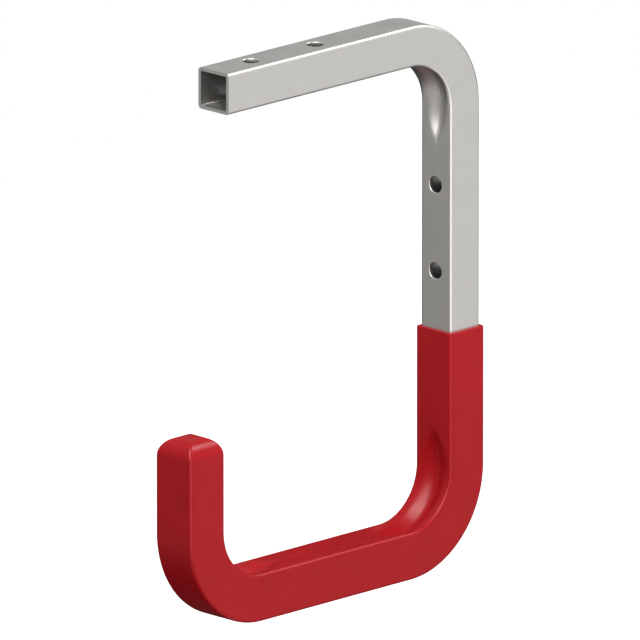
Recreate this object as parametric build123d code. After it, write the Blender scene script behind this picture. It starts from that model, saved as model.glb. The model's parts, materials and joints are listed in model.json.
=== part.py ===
from build123d import *
import math
import os

# A storage hook for a wall or a ceiling, in millimetres.
# +Z is up, the wall is the plane Y = 0 behind the leg, and the arms reach out towards -Y.
# The origin lies on the tube's back face, midway between the two wall holes.

# Square steel tube
tube_side = 20.0
tube_wall = 1.6
tube_corner_radius = 1.8
bore_corner_radius = 0.5

# Course of the tube, along its centre line
leg_length = 247.8  # from the hook's floor up to the top arm
top_arm_length = 157.2  # from the leg out to the open end
hook_depth = 172.8  # from the leg out to the nose
nose_length = 74.4  # from the hook's floor up to the tube's covered end
top_bend_radius = 35.1
hook_bend_radius = 37.0

# Groove that the bending former presses into the inner wall of each bend
groove_radius = 7.25
groove_depth = 4.3
groove_run_out = 17.2  # how far it runs on past the end of the bend
groove_lip_radius = 1.2

# Holes, straight through both walls
hole_diameter = 8.0
wall_hole_spacing = 42.0
wall_hole_height = 153.3  # from the hook's floor up to the middle of the pair
ceiling_hole_spacing = 42.5
ceiling_hole_reach = 111.4  # from the leg out to the middle of the pair

# Plastic coating over the lower part of the tube
coat_thickness = 1.6
coat_corner_radius = 1.7
coat_height = 103.7  # from the hook's floor up to the rim on the leg
coat_lip_radius = 2.0
tip_radius = 8.9  # roundover of the closed tip, above the tube's end

# Places that follow from the sizes
leg_y = -tube_side / 2
nose_y = leg_y - hook_depth
floor_z = -wall_hole_height
arm_z = floor_z + leg_length
coat_side = tube_side + 2 * coat_thickness

open_end = (0, leg_y - top_arm_length, arm_z)
top_corner = (0, leg_y, arm_z)
heel_corner = (0, leg_y, floor_z)
toe_corner = (0, nose_y, floor_z)
covered_end = (0, nose_y, floor_z + nose_length)
coat_rim = (0, leg_y, floor_z + coat_height)
coat_tip = (0, nose_y, floor_z + nose_length + tip_radius)

tube_course = [open_end, top_corner, heel_corner, toe_corner, covered_end]
tube_bends = [top_bend_radius, hook_bend_radius, hook_bend_radius]
coat_course = [coat_rim, heel_corner, toe_corner, coat_tip]
coat_bends = [hook_bend_radius, hook_bend_radius]

# Each bend's corner, the way its inner side faces along Y and Z, and its radius
top_bend = (top_corner, (-1, -1), top_bend_radius)
heel_bend = (heel_corner, (-1, 1), hook_bend_radius)
toe_bend = (toe_corner, (1, 1), hook_bend_radius)


def bent_bar(course, bends, section):
    """A solid bar of one section, swept along straight runs that tangent arcs join."""
    centre_line = FilletPolyline(*course, radius=bends)
    start = Plane(origin=centre_line @ 0, x_dir=(1, 0, 0), z_dir=centre_line % 0)
    return sweep(start * section, path=centre_line)


def former(bend, skin):
    """The ring that pressed one bend's groove, less a skin that lies over the groove.

    Its deepest circle dips groove_depth into the inner wall, and leaves the wall's plane
    groove_run_out beyond the bend. That settles where its centre lies.
    """
    corner, inward, bend_radius = bend
    reach = bend_radius - tube_side / 2 + groove_run_out
    span = reach + groove_depth
    centre = span - math.sqrt(2 * groove_depth * span)
    from_corner = tube_side / 2 + centre
    ring = Torus(centre + groove_depth - groove_radius, groove_radius - skin)
    place = Pos(0, corner[1] + inward[0] * from_corner, corner[2] + inward[1] * from_corner)
    return place * Rot(0, 90, 0) * ring


def pressed(bar, bends, skin, lip_radius):
    """The bar with a groove in the inner wall of each bend, and its lips rounded."""
    for bend in bends:
        ring = former(bend, skin)
        grooved = bar - ring
        bar = fillet(new_edges(bar, ring, combined=grooved), lip_radius)
    return bar


def tube_outside():
    """The tube's outer form, as a solid bar with its three grooves."""
    section = RectangleRounded(tube_side, tube_side, tube_corner_radius)
    bar = bent_bar(tube_course, tube_bends, section)
    return pressed(bar, [top_bend, heel_bend, toe_bend], 0, groove_lip_radius)


def tube_bore():
    """The space inside the tube, narrowed where the grooves push the wall in."""
    bore_side = tube_side - 2 * tube_wall
    section = RectangleRounded(bore_side, bore_side, bore_corner_radius)
    bore = bent_bar(tube_course, tube_bends, section)
    for bend in [top_bend, heel_bend, toe_bend]:
        bore -= former(bend, -tube_wall)
    return bore


def screw_holes():
    """Four drills: two through the leg along Y, and two through the top arm along Z."""
    drill = Cylinder(hole_diameter / 2, 2 * tube_side)
    drills = []
    for side in (-1, 1):
        along_leg = side * wall_hole_spacing / 2
        along_arm = leg_y - ceiling_hole_reach + side * ceiling_hole_spacing / 2
        drills.append(Pos(0, leg_y, along_leg) * Rot(90, 0, 0) * drill)
        drills.append(Pos(0, along_arm, arm_z) * drill)
    return drills


def coat_outside():
    """The coating's outer form: a square bar with a domed tip, rounded corners and grooves."""
    bar = bent_bar(coat_course, coat_bends, Rectangle(coat_side, coat_side))
    end = bar.faces().sort_by_distance(coat_tip)[0]
    bar = fillet(end.edges(), tip_radius)
    upright = bar.edges().filter_by(Axis.Z)
    nose_corners = upright.filter_by_position(Axis.Y, nose_y - coat_side, nose_y + coat_side)
    bar = fillet(nose_corners, coat_corner_radius)
    return pressed(bar, [heel_bend, toe_bend], coat_thickness, coat_lip_radius)


outside = tube_outside()
bent_tube = outside - tube_bore() - screw_holes()
plastic_coating = coat_outside() - outside

os.makedirs("parts", exist_ok=True)
export_step(bent_tube, "parts/bent_tube.step")
export_step(plastic_coating, "parts/plastic_coating.step")
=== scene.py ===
import json
import math

import bpy
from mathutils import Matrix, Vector

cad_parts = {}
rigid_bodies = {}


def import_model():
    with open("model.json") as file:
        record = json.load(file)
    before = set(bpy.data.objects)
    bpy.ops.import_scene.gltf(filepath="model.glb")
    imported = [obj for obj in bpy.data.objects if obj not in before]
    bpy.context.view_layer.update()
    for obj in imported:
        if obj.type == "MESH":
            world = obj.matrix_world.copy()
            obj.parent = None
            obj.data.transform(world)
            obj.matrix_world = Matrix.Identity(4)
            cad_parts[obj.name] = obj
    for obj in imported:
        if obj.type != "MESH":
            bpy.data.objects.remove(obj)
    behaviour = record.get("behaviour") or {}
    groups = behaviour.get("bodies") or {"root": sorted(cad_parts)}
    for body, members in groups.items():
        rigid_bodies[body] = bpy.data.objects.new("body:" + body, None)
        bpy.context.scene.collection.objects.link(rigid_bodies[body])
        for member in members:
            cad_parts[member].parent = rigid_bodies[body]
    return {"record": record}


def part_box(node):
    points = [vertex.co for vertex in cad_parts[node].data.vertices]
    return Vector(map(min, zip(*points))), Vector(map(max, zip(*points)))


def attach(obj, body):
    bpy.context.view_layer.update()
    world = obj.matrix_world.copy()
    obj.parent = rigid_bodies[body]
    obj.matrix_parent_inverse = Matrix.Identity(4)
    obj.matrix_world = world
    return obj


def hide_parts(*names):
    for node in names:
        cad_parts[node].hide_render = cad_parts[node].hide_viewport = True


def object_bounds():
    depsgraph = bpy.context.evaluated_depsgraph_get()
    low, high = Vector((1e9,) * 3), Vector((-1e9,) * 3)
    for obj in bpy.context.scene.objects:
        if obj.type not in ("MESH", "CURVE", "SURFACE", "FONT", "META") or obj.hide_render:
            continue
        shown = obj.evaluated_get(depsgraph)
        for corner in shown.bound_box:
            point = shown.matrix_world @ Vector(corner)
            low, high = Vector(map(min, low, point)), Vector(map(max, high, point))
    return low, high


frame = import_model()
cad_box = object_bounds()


# Steel tube: one length of zinc-plated square tube, cut square at the open end and bent
# three times round a former, whose rounded edge leaves a groove inside each bend. Two
# holes for screws are drilled straight through the leg and two through the top arm.

tube_low, tube_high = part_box("bent_tube")
tube_side = tube_high.x - tube_low.x
tube_wall = 0.0016
tube_corner_radius = 0.0018
bore_corner_radius = 0.0005
top_arm_length = 0.1572
nose_length = 0.0744
top_bend_radius = 0.0351
hook_bend_radius = 0.0370

groove_depth = 0.0043
groove_run_out = 0.0172
groove_slope = 0.75
tube_valley_softness = 0.0006
tube_lip_softness = 0.0026
edge_break = 0.00025
past_end = 0.002

ring_step = 0.0009
close_past_groove = 0.003
corner_strip = 0.0004
wall_steps = 44
bore_wall_steps = 30
smooth_angle = math.radians(30)

leg_y = tube_high.y - tube_side / 2
nose_y = tube_low.y + tube_side / 2
floor_z = tube_low.z + tube_side / 2
arm_z = tube_high.z - tube_side / 2

open_end = Vector((0, leg_y - top_arm_length, arm_z))
top_corner = Vector((0, leg_y, arm_z))
heel_corner = Vector((0, leg_y, floor_z))
toe_corner = Vector((0, nose_y, floor_z))
covered_end = Vector((0, nose_y, floor_z + nose_length))


def former(corner, inward_y, inward_z, bend_radius):
    """Where a bend's former turned, and the radius of its ridge, which makes the valley."""
    span = bend_radius - tube_side / 2 + groove_run_out + groove_depth
    from_wall = span - math.sqrt(2 * groove_depth * span)
    from_corner = tube_side / 2 + from_wall
    centre = corner + Vector((0, inward_y * from_corner, inward_z * from_corner))
    return centre, from_wall + groove_depth


def run_places(start, end, near_start, near_end):
    """Places along a straight run, closely spaced where a bend's groove runs out on it."""
    length = (end - start).length
    close = groove_run_out + close_past_groove
    steps = round(close / ring_step)
    near = [close * i / steps for i in range(steps + 1)]
    places = near if near_start else [0]
    places = places + ([length - far for far in reversed(near)] if near_end else [length])
    return [start.lerp(end, place / length) for place in places]


def bent_course(corners, radii):
    """Points along straight runs and the tangent arcs that join them."""
    points = []
    begin = corners[0]
    for before, corner, after, radius in zip(corners, corners[1:], corners[2:], radii):
        back = (before - corner).normalized()
        on = (after - corner).normalized()
        arc_start = corner + back * radius
        centre = arc_start + on * radius
        points += run_places(begin, arc_start, bool(points), True)
        steps = round(radius * math.pi / 2 / ring_step)
        for step in range(1, steps):
            angle = math.pi / 2 * step / steps
            points.append(centre - (on * math.cos(angle) + back * math.sin(angle)) * radius)
        begin = corner + on * radius
    return points + run_places(begin, corners[-1], True, False)


def course_curve(name, points, widths=None, closed=False):
    """A curve of straight pieces, whose radius carries the section's width at each point."""
    curve = bpy.data.curves.new(name, "CURVE")
    curve.dimensions = "3D"
    spline = curve.splines.new("POLY")
    spline.points.add(len(points) - 1)
    for place, point in enumerate(points):
        spline.points[place].co = (*point, 1)
        spline.points[place].radius = widths[place] if widths else 1
    spline.use_cyclic_u = closed
    drawn = bpy.data.objects.new(name, curve)
    bpy.context.scene.collection.objects.link(drawn)
    return drawn


def square_section(name, side, corner_radius, inner_steps):
    """A rounded square whose side at +Y, which faces into the bends, is finely divided.

    A narrow strip beside each corner keeps the corner's shading off the flat sides.
    """
    corner_steps = 6
    flat = side / 2 - corner_radius
    support = flat - corner_strip
    points = []
    for turn in range(4):
        steps = inner_steps if turn == 0 else 1
        row = [Vector((support - 2 * support * i / steps, side / 2, 0)) for i in range(steps + 1)]
        for i in range(corner_steps + 1):
            angle = math.pi / 2 * (1 + i / corner_steps)
            rounding = Vector((math.cos(angle), math.sin(angle), 0)) * corner_radius
            row.append(Vector((-flat, flat, 0)) + rounding)
        for point in row:
            x, y = point.x, point.y
            for quarter in range(turn):
                x, y = -y, x
            points.append(Vector((x, y, 0)))
    return course_curve(name, points, closed=True)


def put(tree, kind, inputs=None, **settings):
    """Adds a node, and sets or links the inputs that are given by name or by place."""
    added = tree.nodes.new(kind)
    for name, value in settings.items():
        setattr(added, name, value)
    for socket, value in (inputs or {}).items():
        if isinstance(value, bpy.types.NodeSocket):
            tree.links.new(value, added.inputs[socket])
        else:
            added.inputs[socket].default_value = value
    return added


def new_tree(name, kind, inputs, outputs):
    """An empty node tree with named sockets, its input node's outputs and its output node."""
    tree = bpy.data.node_groups.new(name, kind)
    for label, socket in inputs:
        tree.interface.new_socket(label, in_out="INPUT", socket_type="NodeSocket" + socket)
    for label, socket in outputs:
        tree.interface.new_socket(label, in_out="OUTPUT", socket_type="NodeSocket" + socket)
    return tree, put(tree, "NodeGroupInput").outputs, put(tree, "NodeGroupOutput")


def groove_press():
    """Presses one former's ridge into a wall: what lies inside the former is pushed out.

    Measured from the former's axis, the ridge falls away on both sides of its crest, and
    the wall goes where the ridge is further out. Valley and lips are rounded.
    """
    inputs = [("Geometry", "Geometry"), ("Former Centre", "Vector"), ("Crest Radius", "Float"),
              ("Ridge Slope", "Float"), ("Valley Softness", "Float"), ("Lip Softness", "Float")]
    tree, given, out = new_tree("Press groove", "GeometryNodeTree", inputs, [("Geometry", "Geometry")])

    def maths(operation, *values):
        return put(tree, "ShaderNodeMath", dict(enumerate(values)), operation=operation).outputs[0]

    def vectors(operation, *values):
        return put(tree, "ShaderNodeVectorMath", dict(enumerate(values)), operation=operation)

    place = put(tree, "GeometryNodeInputPosition").outputs[0]
    offset = vectors("SUBTRACT", place, given["Former Centre"]).outputs[0]
    radial = vectors("MULTIPLY", offset, (0, 1, 1)).outputs[0]
    wall = vectors("LENGTH", radial).outputs["Value"]
    across = put(tree, "ShaderNodeSeparateXYZ", {0: offset}).outputs["X"]
    fall = maths("MULTIPLY", across, given["Ridge Slope"])
    softness = given["Valley Softness"]
    squares = maths("ADD", maths("MULTIPLY", fall, fall), maths("MULTIPLY", softness, softness))
    drop = maths("SUBTRACT", maths("SQRT", squares), softness)
    ridge = maths("SUBTRACT", given["Crest Radius"], drop)
    pressed_wall = maths("SMOOTH_MAX", wall, ridge, given["Lip Softness"])
    growth = maths("SUBTRACT", maths("DIVIDE", pressed_wall, wall), 1.0)
    push = vectors("SCALE", radial)
    tree.links.new(growth, push.inputs["Scale"])
    moved = put(tree, "GeometryNodeSetPosition",
                {"Geometry": given["Geometry"], "Offset": push.outputs[0]})
    tree.links.new(moved.outputs[0], out.inputs[0])
    return tree


def bar_tree(press):
    """A square bar along a course, with three grooves pressed in and its inside cut out."""
    inputs = [("Geometry", "Geometry"), ("Course", "Object"), ("Section", "Object"),
              ("First Former", "Vector"), ("First Crest", "Float"),
              ("Second Former", "Vector"), ("Second Crest", "Float"),
              ("Third Former", "Vector"), ("Third Crest", "Float"), ("Ridge Slope", "Float"),
              ("Valley Softness", "Float"), ("Lip Softness", "Float"),
              ("Inside", "Object"), ("Wall Drills", "Object"), ("Ceiling Drills", "Object"),
              ("Material", "Material")]
    tree, given, out = new_tree("Pressed square bar", "GeometryNodeTree", inputs,
                                [("Geometry", "Geometry")])

    def shape_of(label):
        return put(tree, "GeometryNodeObjectInfo", {"Object": given[label]}).outputs["Geometry"]

    upright = put(tree, "GeometryNodeSetCurveNormal",
                  {"Curve": shape_of("Course"), "Normal": (1, 0, 0)}, mode="FREE").outputs[0]
    width = put(tree, "GeometryNodeInputRadius").outputs[0]
    bar = put(tree, "GeometryNodeCurveToMesh",
              {"Curve": upright, "Profile Curve": shape_of("Section"),
               "Scale": width, "Fill Caps": True}).outputs[0]
    for which in ("First", "Second", "Third"):
        bar = put(tree, "GeometryNodeGroup",
                  {"Geometry": bar, "Former Centre": given[which + " Former"],
                   "Crest Radius": given[which + " Crest"], "Ridge Slope": given["Ridge Slope"],
                   "Valley Softness": given["Valley Softness"],
                   "Lip Softness": given["Lip Softness"]}, node_tree=press).outputs[0]
    cut = put(tree, "GeometryNodeMeshBoolean", {0: bar}, operation="DIFFERENCE",
              solver="MANIFOLD")
    for label in ("Inside", "Wall Drills", "Ceiling Drills"):
        tree.links.new(shape_of(label), cut.inputs[1])
    whole = put(tree, "GeometryNodeRealizeInstances", {0: cut.outputs[0]}).outputs[0]
    finished = put(tree, "GeometryNodeSetMaterial", {"Geometry": whole, "Material": given["Material"]})
    tree.links.new(finished.outputs[0], out.inputs[0])
    return tree


def drill_tree():
    """A pair of drills, a spacing apart, each a round bar that widens to break a hole's edge."""
    drill_sides = 64
    inputs = [("Geometry", "Geometry"), ("Drill", "Object"), ("Middle", "Vector"),
              ("Half Spacing", "Vector")]
    tree, given, out = new_tree("Drill pair", "GeometryNodeTree", inputs, [("Geometry", "Geometry")])
    ends = []
    for operation in ("SUBTRACT", "ADD"):
        ends.append(put(tree, "ShaderNodeVectorMath", {0: given["Middle"], 1: given["Half Spacing"]},
                        operation=operation).outputs[0])
    line = put(tree, "GeometryNodeMeshLine",
               {"Count": 2, "Start Location": ends[0], "Offset": ends[1]}, mode="END_POINTS")
    round_section = put(tree, "GeometryNodeCurvePrimitiveCircle",
                        {"Resolution": drill_sides, "Radius": 1.0})
    course = put(tree, "GeometryNodeObjectInfo", {"Object": given["Drill"]}).outputs["Geometry"]
    width = put(tree, "GeometryNodeInputRadius").outputs[0]
    drill = put(tree, "GeometryNodeCurveToMesh",
                {"Curve": course, "Profile Curve": round_section.outputs[0], "Scale": width,
                 "Fill Caps": True}).outputs[0]
    pair = put(tree, "GeometryNodeInstanceOnPoints", {"Points": line.outputs[0], "Instance": drill})
    whole = put(tree, "GeometryNodeRealizeInstances", {0: pair.outputs[0]}).outputs[0]
    plain = put(tree, "GeometryNodeSetMaterial", {"Geometry": whole})
    tree.links.new(plain.outputs[0], out.inputs[0])
    return tree


def grown(name, tree, values):
    """The plain mesh that a tree makes from these values, with no modifier or empty slot."""
    start = bpy.data.objects.new(name + "_start", bpy.data.meshes.new(name + "_start"))
    bpy.context.scene.collection.objects.link(start)
    growth = start.modifiers.new(name, "NODES")
    growth.node_group = tree
    sockets = {item.name: item.identifier for item in tree.interface.items_tree
               if item.in_out == "INPUT"}
    for label, value in values.items():
        growth[sockets[label]] = value
    bpy.context.view_layer.update()
    graph = bpy.context.evaluated_depsgraph_get()
    mesh = bpy.data.meshes.new_from_object(start.evaluated_get(graph))
    mesh.name = name
    bpy.data.objects.remove(start)
    for slot in reversed(range(len(mesh.materials))):
        if mesh.materials[slot] is None:
            mesh.materials.pop(index=slot)
    mesh.shade_smooth()
    mesh.set_sharp_from_angle(angle=smooth_angle)
    piece = bpy.data.objects.new(name, mesh)
    bpy.context.scene.collection.objects.link(piece)
    return piece


def grain_group():
    """Faint unevenness that both finishes have: broad patches and a fine grain."""
    noise_detail = 3.0
    noise_low = 0.3
    noise_high = 0.7
    inputs = [("Patch Scale", "Float"), ("Grain Scale", "Float")]
    outputs = [("Patches", "Float"), ("Grain", "Float")]
    tree, given, out = new_tree("Surface grain", "ShaderNodeTree", inputs, outputs)
    place = put(tree, "ShaderNodeTexCoord").outputs["Object"]
    for scale, result in (("Patch Scale", "Patches"), ("Grain Scale", "Grain")):
        noise = put(tree, "ShaderNodeTexNoise",
                    {"Vector": place, "Scale": given[scale], "Detail": noise_detail})
        spread = put(tree, "ShaderNodeMapRange",
                     {"Value": noise.outputs["Fac"], "From Min": noise_low, "From Max": noise_high})
        tree.links.new(spread.outputs[0], out.inputs[result])
    return tree


def finish(name, grain, patch_scale, grain_scale, tones, roughness, relief, shader_values):
    """A finish whose tone and roughness vary a little with the patches, over a fine relief."""
    material = bpy.data.materials.new(name)
    material.use_nodes = True
    tree = material.node_tree
    shader = tree.nodes["Principled BSDF"]
    varied = put(tree, "ShaderNodeGroup",
                 {"Patch Scale": patch_scale, "Grain Scale": grain_scale}, node_tree=grain).outputs
    tone = put(tree, "ShaderNodeMix",
               {0: varied["Patches"], 6: (*tones[0], 1), 7: (*tones[1], 1)}, data_type="RGBA")
    tree.links.new(tone.outputs[2], shader.inputs["Base Color"])
    rough = put(tree, "ShaderNodeMapRange",
                {"Value": varied["Patches"], "To Min": roughness[0], "To Max": roughness[1]})
    tree.links.new(rough.outputs[0], shader.inputs["Roughness"])
    bump = put(tree, "ShaderNodeBump", {"Height": varied["Grain"], "Strength": 1.0, "Distance": relief})
    tree.links.new(bump.outputs[0], shader.inputs["Normal"])
    for label, value in shader_values.items():
        shader.inputs[label].default_value = value
    return material


surface_grain = grain_group()
zinc_plate = finish("zinc_plate", surface_grain, patch_scale=90, grain_scale=2600,
                    tones=[(0.525, 0.512, 0.493), (0.545, 0.531, 0.512)], roughness=(0.38, 0.41),
                    relief=0.000006, shader_values={"Metallic": 1.0})

formers = [former(top_corner, -1, -1, top_bend_radius),
           former(heel_corner, -1, 1, hook_bend_radius),
           former(toe_corner, 1, 1, hook_bend_radius)]
tube_radii = [top_bend_radius, hook_bend_radius, hook_bend_radius]


def pressed_by_formers(skin, valley_softness, lip_softness):
    """The bar tree's values for the grooves of a wall that lies a skin outside the tube."""
    values = {"Ridge Slope": groove_slope, "Valley Softness": valley_softness,
              "Lip Softness": lip_softness}
    for which, (centre, crest_radius) in zip(("First", "Second", "Third"), formers):
        values[which + " Former"] = centre
        values[which + " Crest"] = crest_radius - skin
    return values


pressed_bar = bar_tree(groove_press())
outer_form = grown("tube_form", pressed_bar, {
    "Course": course_curve("tube_course", bent_course(
        [open_end, top_corner, heel_corner, toe_corner, covered_end], tube_radii)),
    "Section": square_section("tube_section", tube_side, tube_corner_radius, wall_steps),
    **pressed_by_formers(0, tube_valley_softness, tube_lip_softness)})

bore_side = tube_side - 2 * tube_wall
bore_start = open_end - Vector((0, past_end, 0))
bore_finish = covered_end + Vector((0, 0, past_end))
bore_form = grown("bore_form", pressed_bar, {
    "Course": course_curve("bore_course", bent_course(
        [bore_start, top_corner, heel_corner, toe_corner, bore_finish], tube_radii)),
    "Section": square_section("bore_section", bore_side, bore_corner_radius, bore_wall_steps),
    **pressed_by_formers(-tube_wall, tube_valley_softness, tube_lip_softness)})


def drill_pair(name, mount, along):
    """The two drills of one pattern of holes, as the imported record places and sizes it."""
    axis = Vector(mount["axis"])
    radius = mount["dims"]["hole_r_mm"] / 1000
    half = tube_side / 2
    profile = [(half + past_end, radius + edge_break), (half, radius + edge_break),
               (half - edge_break, radius)]
    stops = [(-far, width) for far, width in profile] + list(reversed(profile))
    course = course_curve(name + "_course", [axis * far for far, width in stops],
                          [width for far, width in stops])
    middle = Vector(mount["pos_m"]) - axis * half
    spacing = mount["dims"]["spacing_y_mm"] / 1000
    return grown(name, drill_pair_tree,
                 {"Drill": course, "Middle": middle, "Half Spacing": along * spacing / 2})


drill_pair_tree = drill_tree()
mounts = {mount["name"]: mount for mount in frame["record"]["mounts"]}
wall_drills = drill_pair("wall_drills", mounts["wall_holes"], Vector((0, 0, 1)))
ceiling_drills = drill_pair("ceiling_drills", mounts["ceiling_holes"], Vector((0, 1, 0)))

bent_tube = grown("tube", pressed_bar, {
    "Course": bpy.data.objects["tube_course"], "Section": bpy.data.objects["tube_section"],
    **pressed_by_formers(0, tube_valley_softness, tube_lip_softness), "Inside": bore_form,
    "Wall Drills": wall_drills, "Ceiling Drills": ceiling_drills, "Material": zinc_plate})
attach(bent_tube, "root")
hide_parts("bent_tube")


# Plastic coating: red plastic that the lower part of the bent tube is dipped in. It follows
# the tube's grooves with one even skin, ends in a soft rim on the leg, and closes over the
# nose in a rounded tip whose four faces meet in creases.

coat_low, coat_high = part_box("plastic_coating")
coat_side = coat_high.x - coat_low.x
coat_thickness = (coat_side - tube_side) / 2
coat_corner_radius = 0.0017
coat_valley_softness = 0.0014
coat_lip_softness = 0.0036
rim_radius = 0.0004
tip_radius = 0.0089
tip_steps = 14
rim_steps = 4

coat_half = coat_side / 2
coat_rim = Vector((0, leg_y, coat_high.z))
coat_points = bent_course([coat_rim, heel_corner, toe_corner, covered_end],
                          [hook_bend_radius, hook_bend_radius])
coat_widths = [1.0] * len(coat_points)
coat_widths[0] = 1 - rim_radius / coat_half
for step in range(1, rim_steps + 1):
    angle = math.pi / 2 * step / rim_steps
    drop = rim_radius * (1 - math.cos(angle))
    inset = rim_radius * (1 - math.sin(angle))
    coat_points.insert(step, coat_rim - Vector((0, 0, drop)))
    coat_widths.insert(step, 1 - inset / coat_half)
for step in range(1, tip_steps + 1):
    angle = math.pi / 2 * step / tip_steps
    coat_points.append(covered_end + Vector((0, 0, tip_radius * math.sin(angle))))
    coat_widths.append(1 - tip_radius * (1 - math.cos(angle)) / coat_half)

red_plastic = finish("red_coating", surface_grain, patch_scale=60, grain_scale=900,
                     tones=[(0.44, 0.0062, 0.0105), (0.48, 0.007, 0.012)], roughness=(0.3, 0.34),
                     relief=0.000006, shader_values={"Specular IOR Level": 0.13})

coating = grown("coating", pressed_bar, {
    "Course": course_curve("coat_course", coat_points, coat_widths),
    "Section": square_section("coat_section", coat_side, coat_corner_radius, wall_steps),
    **pressed_by_formers(coat_thickness, coat_valley_softness, coat_lip_softness),
    "Inside": outer_form, "Material": red_plastic})
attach(coating, "root")
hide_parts("plastic_coating")

for helper in [item for item in bpy.data.objects if item.name.endswith(("_course", "_section"))]:
    bpy.data.objects.remove(helper)
for helper in (outer_form, bore_form, wall_drills, ceiling_drills):
    bpy.data.objects.remove(helper)


# Studio: a pale floor well below the hanging hook, softboxes round it, grey boards that give
# each face of the steel something to reflect other than the white room, and lamps that only
# add a shine to one piece.

hook_middle = (cad_box[0] + cad_box[1]) / 2
floor_drop = 0.9
floor_half = 3.0
floor_patch_scale = 3.0
floor_tones = (0.78, 0.8)
floor_roughness = 0.9
floor_brightness = 0.92


def plain_panel(name, corners, material):
    """A flat four-cornered stage piece."""
    mesh = bpy.data.meshes.new(name)
    mesh.from_pydata(corners, [], [(0, 1, 2, 3)])
    mesh.materials.append(material)
    panel = bpy.data.objects.new(name, mesh)
    bpy.context.scene.collection.objects.link(panel)
    return panel


def background_rays(tree):
    """1 for the rays that should meet a white background: camera, glossy and transmission."""
    rays = put(tree, "ShaderNodeLightPath").outputs
    seen = put(tree, "ShaderNodeMath", {0: rays["Is Camera Ray"], 1: rays["Is Glossy Ray"]},
               operation="MAXIMUM").outputs[0]
    return put(tree, "ShaderNodeMath", {0: seen, 1: rays["Is Transmission Ray"]},
               operation="MAXIMUM").outputs[0]


floor_finish = bpy.data.materials.new("pale_floor")
floor_finish.use_nodes = True
floor_tree = floor_finish.node_tree
floor_shader = floor_tree.nodes["Principled BSDF"]
floor_place = put(floor_tree, "ShaderNodeTexCoord").outputs["Object"]
floor_grain = put(floor_tree, "ShaderNodeTexNoise",
                  {"Vector": floor_place, "Scale": floor_patch_scale})
floor_tone = put(floor_tree, "ShaderNodeMapRange",
                 {"Value": floor_grain.outputs["Fac"], "To Min": floor_tones[0],
                  "To Max": floor_tones[1]})
floor_tree.links.new(floor_tone.outputs[0], floor_shader.inputs["Base Color"])
floor_shader.inputs["Roughness"].default_value = floor_roughness
floor_glow = put(floor_tree, "ShaderNodeMath",
                 {0: background_rays(floor_tree), 1: floor_brightness}, operation="MULTIPLY")
floor_tree.links.new(floor_glow.outputs[0], floor_shader.inputs["Emission Strength"])
floor_shader.inputs["Emission Color"].default_value = (1, 1, 1, 1)
floor_level = cad_box[0].z - floor_drop
floor_corners = [Vector((x * floor_half, y * floor_half, floor_level))
                 for x, y in ((-1, -1), (1, -1), (1, 1), (-1, 1))]
plain_panel("studio_floor", floor_corners, floor_finish)


def board(name, direction, distance, half_width, half_height, glow):
    """A glowing grey board that faces the hook and isn't seen by the camera itself."""
    grey = bpy.data.materials.new(name)
    grey.use_nodes = True
    shader = grey.node_tree.nodes["Principled BSDF"]
    shader.inputs["Base Color"].default_value = (0, 0, 0, 1)
    shader.inputs["Specular IOR Level"].default_value = 0
    shader.inputs["Emission Color"].default_value = (1, 1, 1, 1)
    shader.inputs["Emission Strength"].default_value = glow
    towards = Vector(direction).normalized()
    across = towards.cross(Vector((0, 0, 1))).normalized() * half_width
    up = across.cross(towards).normalized() * half_height
    middle = hook_middle + towards * distance
    panel = plain_panel(name, [middle - across - up, middle + across - up,
                               middle + across + up, middle - across + up], grey)
    panel.visible_camera = False


front_left_glow = 0.49
front_glow = 0.3
back_left_glow = 0.49
dark_glow = 0.04
mat_glow = 0.06
back_right_glow = 1.05
right_glow = 0.2

# Each board's direction from the hook, its distance, half its width and height, and its glow
board("front_left_board", (-0.68, -0.68, -0.27), 1.1, 0.5, 0.6, front_left_glow)
board("front_board", (-0.05, -1, -0.05), 1.2, 0.45, 0.65, front_glow)
board("back_right_board", (0.68, 0.68, -0.22), 1.1, 0.55, 0.6, back_right_glow)
board("back_left_board", (-0.6, 0.6, 0.62), 0.6, 0.45, 0.24, back_left_glow)
board("back_left_low_board", (-0.68, 0.68, -0.1), 0.52, 0.4, 0.2, dark_glow)
board("left_board", (-1, 0.1, -0.15), 0.85, 0.3, 0.4, dark_glow)
board("front_right_board", (0.46, -0.86, -0.3), 1.15, 0.28, 0.5, front_glow)
board("back_board", (-0.08, 1, -0.27), 1.0, 0.36, 0.5, dark_glow)
board("low_back_mat", (-0.15, 0.66, -0.73), 0.9, 0.5, 0.35, dark_glow)
board("low_left_mat", (-0.62, 0.12, -0.75), 0.8, 0.7, 0.5, dark_glow)
board("low_front_mat", (0.12, -0.3, -0.95), 0.85, 0.5, 0.4, mat_glow)
board("right_board", (1, 0, -0.1), 1.9, 0.55, 0.6, right_glow)


def softbox(name, direction, distance, width, height, power, shine_on=None):
    """A soft lamp that faces the hook, or only adds a shine to one of its pieces."""
    light = bpy.data.lights.new(name, "AREA")
    light.shape = "RECTANGLE"
    light.size = width
    light.size_y = height
    light.energy = power
    lamp = bpy.data.objects.new(name, light)
    towards = Vector(direction).normalized()
    lamp.location = hook_middle + towards * distance
    lamp.rotation_euler = (-towards).to_track_quat("-Z", "Y").to_euler()
    lamp.visible_camera = False
    bpy.context.scene.collection.objects.link(lamp)
    if shine_on:
        lamp.visible_diffuse = False
        shone_on = bpy.data.collections.new(name)
        shone_on.objects.link(shine_on)
        lamp.light_linking.receiver_collection = shone_on


right_power = 4.8
overhead_power = 4.6
steel_right_shine = 3.6
steel_back_shine = 6.0
steel_high_shine = 11.0
red_right_shine = 9.0
red_back_shine = 6.5
red_high_shine = 38.0

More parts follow.
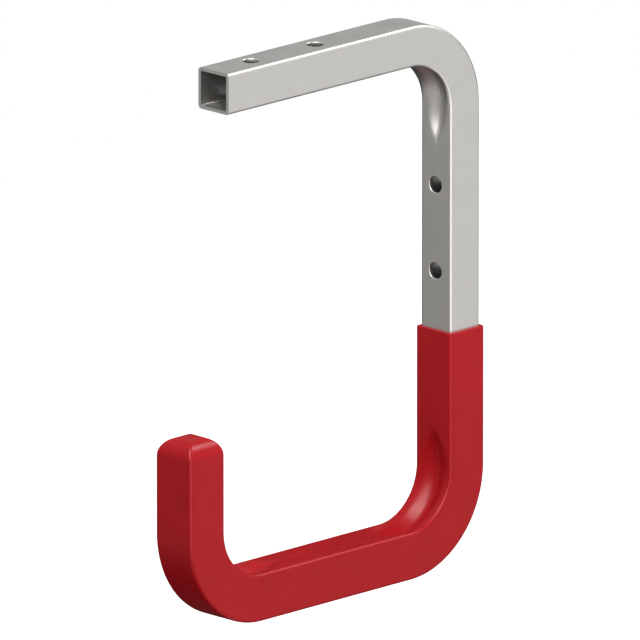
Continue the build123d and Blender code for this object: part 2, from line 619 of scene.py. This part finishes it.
# Each lamp's direction from the hook, its distance, width and height, and its power
softbox("right_softbox", (0.93, -0.2, 0.3), 1.3, 0.6, 0.8, right_power)
softbox("overhead_softbox", (0.13, -0.36, 0.9), 1.1, 0.55, 0.55, overhead_power)
for piece, right_shine, back_shine, high_shine in (
        (bent_tube, steel_right_shine, steel_back_shine, steel_high_shine),
        (coating, red_right_shine, red_back_shine, red_high_shine)):
    softbox(piece.name + "_right_shine", (0.92, -0.4, -0.26), 1.4, 1.1, 0.6, right_shine, piece)
    softbox(piece.name + "_back_shine", (0.26, 0.68, 0.67), 1.3, 0.4, 0.4, back_shine, piece)
    softbox(piece.name + "_high_shine", (0.38, -0.52, 0.76), 1.2, 0.45, 1.5, high_shine, piece)

room_glow = 0.68
room = bpy.data.worlds.new("studio_room")
bpy.context.scene.world = room
room.use_nodes = True
room_tree = room.node_tree
room_light = room_tree.nodes["Background"]
room_strength = put(room_tree, "ShaderNodeMapRange",
                    {"Value": background_rays(room_tree), "To Min": room_glow, "To Max": 1.0})
room_light.inputs["Color"].default_value = (1, 1, 1, 1)
room_tree.links.new(room_strength.outputs[0], room_light.inputs["Strength"])


# Camera: a very long lens, a little above the hook and to its front right, so that the
# picture is close to a parallel projection, as the photo is.

view_azimuth = math.radians(44.955)
view_elevation = math.radians(15.443)
frame_width = 0.30228
heel_to_aim_left = 0.061365
heel_to_aim_up = 0.102436
lens = 1700
sensor = 36

to_right = Vector((math.cos(view_azimuth), math.sin(view_azimuth), 0))
to_camera = Vector((math.sin(view_azimuth) * math.cos(view_elevation),
                    -math.cos(view_azimuth) * math.cos(view_elevation), math.sin(view_elevation)))
to_top = to_camera.cross(to_right)
aim = heel_corner - to_right * heel_to_aim_left + to_top * heel_to_aim_up

camera_data = bpy.data.cameras.new("photo_camera")
camera_data.lens = lens
camera_data.sensor_width = sensor
camera_data.clip_start = 1
camera_data.clip_end = 100
camera = bpy.data.objects.new("photo_camera", camera_data)
camera.location = aim + to_camera * frame_width * lens / sensor
camera.rotation_euler = to_camera.to_track_quat("Z", "Y").to_euler()
bpy.context.scene.collection.objects.link(camera)
bpy.context.scene.camera = camera
bpy.context.scene.view_settings.view_transform = "Standard"
